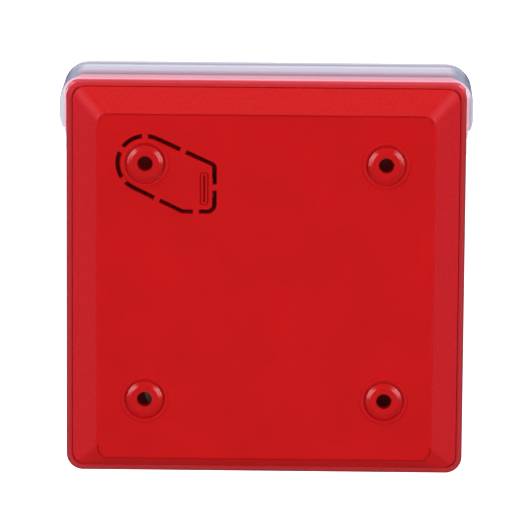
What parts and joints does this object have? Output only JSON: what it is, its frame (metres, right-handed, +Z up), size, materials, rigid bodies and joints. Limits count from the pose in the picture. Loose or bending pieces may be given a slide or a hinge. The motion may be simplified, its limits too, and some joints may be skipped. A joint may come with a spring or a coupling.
{
  "type": "fire alarm call point",
  "caption": "Square wall-mounted manual fire alarm call point with a bevelled rear mounting panel, a clear hinged flap and a press plate.",
  "frame": {"origin": "middle of the four wall screw holes, on the wall's surface", "axes": "+Y points into the wall, the press plate looks along -Y, +Z is up"},
  "size_m": [0.091, 0.0554, 0.0896],
  "materials": {
    "panel_red": "moulded, spark-eroded bevels and a smoother flat",
    "case_red": "moulded, fine grain",
    "clear_flap": "clear moulded polycarbonate",
    "plate_white": "satin white moulding",
    "guide_yellow": "moulded",
    "latch_grey": "moulded acetal",
    "spring_steel": "drawn wire",
    "screw_steel": "zinc plated",
    "board_green": "solder mask",
    "cell_wrap": "plain shrink sleeve",
    "contact_nickel": "nickel plated strip",
    "switch_black": "moulded",
    "button_black": "moulded",
    "button_grey": "light grey moulding",
    "pipe_clear": "clear moulding",
    "lamp_white": "moulded lamp body",
    "shield_tin": "tinned steel can",
    "aerial_brass": "plated strip"
  },
  "bodies": {
    "panel": {"mounting_panel": "panel_red"},
    "case": {"front_case": "case_red", "rear_case": "case_red", "case_screws": "screw_steel", "press_guide": "guide_yellow", "guide_screws": "screw_steel", "return_springs": "spring_steel", "latch_spring": "spring_steel", "circuit_board": "board_green", "board_screws": "screw_steel", "battery_left": "cell_wrap", "battery_right": "cell_wrap", "battery_contacts": "contact_nickel", "alarm_switch": "switch_black", "tamper_switch": "switch_black", "power_switch": "switch_black", "tamper_spring": "spring_steel", "light_pipe": "pipe_clear", "status_lamp": "lamp_white", "radio_shield": "shield_tin", "aerial_strip": "aerial_brass"},
    "flap": {"protective_flap": "clear_flap"},
    "press": {"press_plate": "plate_white"},
    "latch": {"reset_latch": "latch_grey"},
    "tamper": {"tamper_button": "button_black"},
    "power": {"power_button": "button_grey"}
  },
  "joints": [
    {"name": "case_slide", "type": "slide", "parent": "panel", "child": "case", "axis": [0, 0, 1], "range_m": [0, 0.006]},
    {"name": "flap_hinge", "type": "hinge", "parent": "case", "child": "flap", "pos_m": [0, -0.0067, 0.0431], "axis": [-1, 0, 0], "range_deg": [0, 75]},
    {"name": "press_slide", "type": "slide", "parent": "case", "child": "press", "axis": [0, 1, 0], "range_m": [0, 0.004], "stiffness_N_per_m": 1200, "springref_m": -0.002, "deforming": ["return_springs"]},
    {"name": "latch_slide", "type": "slide", "parent": "case", "child": "latch", "axis": [0, 0, 1], "range_m": [0, 0.002], "stiffness_N_per_m": 500, "springref_m": -0.002, "deforming": ["latch_spring"]},
    {"name": "tamper_slide", "type": "slide", "parent": "case", "child": "tamper", "axis": [0, -1, 0], "range_m": [0, 0.0012], "stiffness_N_per_m": 400, "springref_m": -0.003, "deforming": ["tamper_spring"]},
    {"name": "power_slide", "type": "slide", "parent": "case", "child": "power", "axis": [0, -1, 0], "range_m": [0, 0.0006], "stiffness_N_per_m": 1500, "springref_m": -0.0008}
  ]
}
